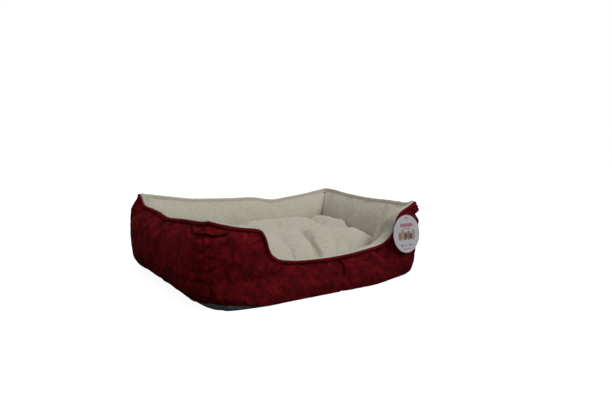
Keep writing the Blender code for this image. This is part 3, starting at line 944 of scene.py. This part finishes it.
def distance_to(points, line):
    """The distance in plan from each point to a line of points."""
    best = np.full(len(points), 9.0)
    for a, b in zip(line, line[1:]):
        run = b - a
        share = np.clip(((points - a) @ run) / (run @ run), 0, 1)
        best = np.minimum(best, np.linalg.norm(points - a - share[:, None] * run, axis=1))
    return best


def cushion_relief(plan):
    """How far the upper face dips at its sewn lines and gathers, and how firmly it is held."""
    dip, held = np.zeros(len(plan)), np.zeros(len(plan))
    for knots, depth, width, firm in CHANNELS:
        distance = distance_to(plan, spline(knots, 8))
        shape = 0.62 * bump(distance, width) + 0.38 * bump(distance, width * 2.2)
        dip = np.maximum(dip, depth * shape)
        held = np.maximum(held, firm * (distance < 0.0036))
    return dip, held


def cushion_height(plan):
    """The upper face above the seam before its channels, at points of the plan."""
    x, y = plan[:, 0], plan[:, 1]
    slope = 0.079 + 0.10 * (y - 0.03)
    front = np.where(y < 0.03, -0.10 * (0.03 - y) - 0.7 * np.clip(-0.05 - y, 0, 1) ** 2 * 4, 0)
    puff = 0.010 * bump(np.hypot((x - 0.08) / 1.6, y - 0.075), 0.05)
    puff = puff + 0.012 * bump(np.hypot((x - 0.222) / 1.4, y - 0.060), 0.056)
    puff = puff + 0.006 * bump(np.hypot((x + 0.04) / 1.6, y - 0.080), 0.05)
    ridge = 0.004 * bump(y - 0.018, 0.022) * smooth((x - 0.02) / 0.03)
    left = -0.012 * smooth((-0.02 - x) / 0.12)
    front = front * (1 - 0.65 * smooth((x - 0.08) / 0.12))
    right = 0.011 * smooth((x - 0.13) / 0.10) * smooth((0.05 - y) / 0.04)
    return slope + front + puff + ridge + left + right - SEAM_RISE


def rounded_plan(count, half_x, back, front, radius):
    """A rounded rectangle as an evenly spaced loop in the plan."""
    points = []
    for x_sign, y_edge, y_sign, start in (
        (1, back, 1, 0), (-1, back, 1, 90), (-1, front, -1, 180), (1, front, -1, 270),
    ):  # fmt: skip
        for step in range(13):
            angle = math.radians(start + 7.5 * step)
            x = x_sign * (half_x - radius) + radius * math.cos(angle)
            y = y_edge - y_sign * radius + radius * math.sin(angle)
            points.append((x, y, 0.0))
    return resample_loop(np.array(points), count)


def pillow(count, rings):
    """The cushion's plain closed form, from which its cover is made."""
    loop = rounded_plan(count, CUSHION_X, CUSHION_BACK, CUSHION_FRONT, CUSHION_CORNER)
    shares = 1 - np.linspace(0, 1, rings) ** 1.1 * 0.985
    flat = (loop[None] * shares[:, None, None]).reshape(-1, 3)
    inset = edge_inset(flat[:, :2])
    turn = 0.034 - 0.015 * smooth((flat[:, 0] - 0.18) / 0.05)
    crown = np.sqrt(np.clip(1 - (1 - np.clip(inset / turn, 0, 1)) ** 2, 0, 1))
    belly = np.sqrt(np.clip(1 - (1 - np.clip(inset / 0.030, 0, 1)) ** 2, 0, 1))
    upper, lower = flat.copy(), flat.copy()
    upper[:, 2] = CUSHION_SEAM + 0.002 + cushion_height(flat[:, :2]) * crown
    lower[:, 2] = CUSHION_SEAM - 0.002 - (CUSHION_SEAM - FLOOR_TOP - 0.003) * belly
    faces = closed_faces(np.arange(len(flat)).reshape(rings, count))
    return np.concatenate([upper, lower]), faces


def applied(obj, kind, **values):
    """The object with one modifier added and applied."""
    modifier = obj.modifiers.new(kind.lower(), kind)
    for key, value in values.items():
        setattr(modifier, key, value)
    mesh = bpy.data.meshes.new_from_object(obj.evaluated_get(bpy.context.evaluated_depsgraph_get()))
    obj.modifiers.clear()
    obj.data = mesh
    return obj


def at_vertices(mesh, key):
    """The mesh's "co" or "normal" values, as one row per vertex."""
    flat = np.empty(len(mesh.vertices) * 3)
    mesh.vertices.foreach_get(key, flat)
    return flat.reshape(-1, 3)


def set_points(obj, points):
    obj.data.vertices.foreach_set("co", np.asarray(points, float).reshape(-1))
    obj.data.update()


def build_cushion(material):
    vertices, faces = pillow(240, 40)
    cushion = new_mesh("cushion_cover", vertices, faces, material)
    applied(cushion, "REMESH", mode="VOXEL", voxel_size=0.0046)
    points = at_vertices(cushion.data, "co")
    plan, top = points[:, :2], points[:, 2] > CUSHION_SEAM + 0.004
    dip, held = cushion_relief(plan)
    crown = smooth(edge_inset(plan) / 0.020)
    points[:, 2] -= np.where(top, dip * crown, 0)
    at_seam = np.abs(points[:, 2] - CUSHION_SEAM) < 0.0035
    pinned = np.where(at_seam & (edge_inset(plan) < 0.004), 1.0, np.where(top, held, 0.0))
    polygons = [list(polygon.vertices) for polygon in cushion.data.polygons]
    points = settle(points, polygons, pinned, 0.030, 4.0, 0.009)
    points[:, 2] = np.maximum(points[:, 2], FLOOR_TOP + 0.0012)
    set_points(cushion, points)
    applied(cushion, "SUBSURF", levels=1, render_levels=1)
    points, normals = at_vertices(cushion.data, "co"), at_vertices(cushion.data, "normal")
    set_points(cushion, points + normals * (0.0010 * curls(points, 23))[:, None])
    cushion.data.shade_smooth()
    cushion.data.materials.clear()
    cushion.data.materials.append(material)
    return cushion


def edge_inset(plan):
    """How far each point of the plan is inside the cushion's edge."""
    loop = rounded_plan(240, CUSHION_X, CUSHION_BACK, CUSHION_FRONT, CUSHION_CORNER)[:, :2]
    return distance_to(plan, np.vstack([loop, loop[:1]]))


# Hang tag's print


# Height of the print's face over the card's middle, and its thickness
PRINT_LIFT = 0.00045
PRINT_THICKNESS = 0.00012


def build_print(inks):
    """Plain shapes printed on the card, with no lettering: bars, squares and ellipses."""
    centre, right, up, normal, _ = tag_frame()
    vertices, faces, slots = [], [], []

    def shape(outline, ink, raised=0.0):
        base = len(vertices)
        for level in (0.0, PRINT_THICKNESS + raised):
            height = PRINT_LIFT - PRINT_THICKNESS + level
            for u, v in outline:
                vertices.append(centre + right * u + up * v + normal * height)
        count = len(outline)
        faces.append([base + count + k for k in range(count)])
        faces.append([base + k for k in reversed(range(count))])
        slots.extend([ink, ink])
        for k in range(count):
            following = (k + 1) % count
            faces.append([base + k, base + following, base + count + following, base + count + k])
            slots.append(ink)

    def ellipse(u, v, wide, tall, ink, raised):
        angles = np.linspace(0, 2 * math.pi, 28, endpoint=False)
        shape([(u + wide * math.cos(a), v + tall * math.sin(a)) for a in angles], ink, raised)

    def block(u, v, wide, tall, ink):
        left, right_edge, low, high = u - wide, u + wide, v - tall, v + tall
        shape([(left, low), (right_edge, low), (right_edge, high), (left, high)], ink)

    block(0.0, 0.0225, 0.0230, 0.0045, 0)
    block(0.0, 0.0135, 0.0130, 0.0010, 0)
    rounded = (
        (-0.0255, 0.0105, 1), (-0.0150, 0.0150, 2), (-0.0050, 0.0100, 3),
        (0.0060, 0.0125, 1), (0.0150, 0.0085, 3), (0.0245, 0.0140, 2),
    )  # fmt: skip
    for k, (u, tall, ink) in enumerate(rounded):
        ellipse(u, -0.0130 + tall * 0.75, 0.0056, tall, ink, 0.00002 * k)
    for u in (-0.020, 0.010):
        block(u, -0.0290, 0.0030, 0.0030, 4)
        block(u + 0.0125, -0.0290, 0.0070, 0.0009, 4)
    block(0.0, -0.0385, 0.0150, 0.0009, 0)
    obj = new_mesh("tag_print", np.array(vertices), faces, inks[0])
    for ink in inks[1:]:
        obj.data.materials.append(ink)
    for polygon, ink in zip(obj.data.polygons, slots):
        polygon.material_index = ink
        polygon.use_smooth = False
    return obj


# Stage


def area_light(name, place_at, target, size, power):
    data = bpy.data.lights.new(name, "AREA")
    data.shape = "RECTANGLE"
    data.size, data.size_y = size
    data.energy = power
    obj = bpy.data.objects.new(name, data)
    obj.location = place_at
    obj.rotation_euler = (Vector(target) - Vector(place_at)).to_track_quat("-Z", "Y").to_euler()
    bpy.context.scene.collection.objects.link(obj)


def build_stage():
    world = bpy.data.worlds.new("studio")
    bpy.context.scene.world = world
    world.use_nodes = True
    tree = world.node_tree
    background = tree.nodes["Background"]
    background.inputs["Color"].default_value = (1.0, 1.0, 1.0, 1.0)
    path = tree.nodes.new("ShaderNodeLightPath")
    strength = tree.nodes.new("ShaderNodeMapRange")
    set_inputs(strength, {"To Min": 0.36, "To Max": 1.0})
    tree.links.new(path.outputs["Is Camera Ray"], strength.inputs["Value"])
    tree.links.new(strength.outputs["Result"], background.inputs["Strength"])

    material, tree, shader, where = node_material("pale_floor")
    set_inputs(shader, {"Roughness": 0.9, "Specular IOR Level": 0.0, "Emission Color": (1.0, 1.0, 1.0, 1.0)})
    path = tree.nodes.new("ShaderNodeLightPath").outputs["Is Camera Ray"]
    shade = mix(tree, "MIX", path, grey(0.12), grey(0.28))
    tree.links.new(shade, shader.inputs["Base Color"])
    distance = tree.nodes.new("ShaderNodeVectorMath")
    distance.operation = "LENGTH"
    tree.links.new(where, distance.inputs[0])
    glow = tree.nodes.new("ShaderNodeMapRange")
    set_inputs(glow, {"From Min": 0.3, "From Max": 2.5, "To Min": 0.91, "To Max": 1.0})
    tree.links.new(distance.outputs["Value"], glow.inputs["Value"])
    seen = tree.nodes.new("ShaderNodeMath")
    seen.operation = "MULTIPLY"
    tree.links.new(glow.outputs["Result"], seen.inputs[0])
    tree.links.new(path, seen.inputs[1])
    tree.links.new(seen.outputs["Value"], shader.inputs["Emission Strength"])
    mesh = bpy.data.meshes.new("floor")
    size, level = 14.0, -0.0006
    corners = [(x * size, y * size, level) for x, y in ((-1, -1), (1, -1), (1, 1), (-1, 1))]
    mesh.from_pydata(corners, [], [(0, 1, 2, 3)])
    mesh.materials.append(material)
    floor = bpy.data.objects.new("floor", mesh)
    bpy.context.scene.collection.objects.link(floor)
    area_light("key", (1.05, -1.7, 2.15), (0.0, 0.0, 0.08), (1.4, 1.0), 32)
    area_light("fill", (-2.0, -0.3, 1.1), (0.0, 0.0, 0.12), (1.2, 1.0), 3)
    area_light("top", (0.1, 0.2, 2.4), (0.0, 0.0, 0.05), (2.0, 1.6), 11)
    bpy.context.scene.view_settings.view_transform = "Standard"


def build_camera():
    yaw, pitch, roll = (math.radians(angle) for angle in CAMERA_ANGLES)
    level = math.cos(pitch)
    forward = Vector((math.sin(yaw) * level, math.cos(yaw) * level, -math.sin(pitch)))
    right = Vector((math.cos(yaw), -math.sin(yaw), 0.0))
    up = right.cross(forward)
    side = math.cos(roll) * right + math.sin(roll) * up
    above = -math.sin(roll) * right + math.cos(roll) * up
    data = bpy.data.cameras.new("camera")
    data.lens = CAMERA_LENS
    data.sensor_width = 36.0
    data.clip_start = 0.01
    camera = bpy.data.objects.new("camera", data)
    turn = Matrix((side, above, -forward)).transposed().to_4x4()
    camera.matrix_world = Matrix.Translation(CAMERA_PLACE) @ turn
    bpy.context.scene.collection.objects.link(camera)
    bpy.context.scene.camera = camera


def main():
    suede, fleece = suede_material(), fleece_material()
    base, card, plastic = base_material(), card_material(), plastic_material()
    covers, foot = build_outer(suede)
    linings, inner = build_lining(fleece)

    stands_for = {
        "front_left_cover": ("outer_front_left_panel", "fill_front"),
        "front_right_cover": ("outer_front_right_panel",),
        "right_cover": ("outer_right_panel", "fill_right"),
        "back_cover": ("outer_back_panel", "fill_back"),
        "left_cover": ("outer_left_panel", "fill_left"),
        "front_fleece": ("lining_front",),
        "right_fleece": ("lining_right",),
        "back_fleece": ("lining_back",),
        "left_fleece": ("lining_left",),
    }
    for piece in covers + linings:
        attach(piece, "bed")
        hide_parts(*stands_for[piece.name])

    base_sheet = build_base_sheet(foot, base)
    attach(base_sheet, "bed")
    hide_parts("base_panel")

    floor_sheet = build_floor_fleece(inner, fleece)
    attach(floor_sheet, "bed")
    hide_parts("floor_lining", "base_wadding")

    cushion = build_cushion(fleece)
    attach(cushion, "cushion")
    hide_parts("cushion_top", "cushion_bottom", "cushion_fill")

    for name, material in (("hang_tag", card), ("tag_pin", plastic)):
        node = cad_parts[name]
        node.data.materials.clear()
        node.data.materials.append(material)
    inks = [
        ink_material("pink_ink", (0.52, 0.20, 0.25)),
        ink_material("tan_ink", (0.36, 0.20, 0.12)),
        ink_material("sand_ink", (0.42, 0.34, 0.26)),
        ink_material("brown_ink", (0.16, 0.11, 0.09)),
        ink_material("blue_ink", (0.22, 0.30, 0.45)),
    ]
    printed = build_print(inks)
    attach(printed, "tag")

    build_stage()
    build_camera()


main()
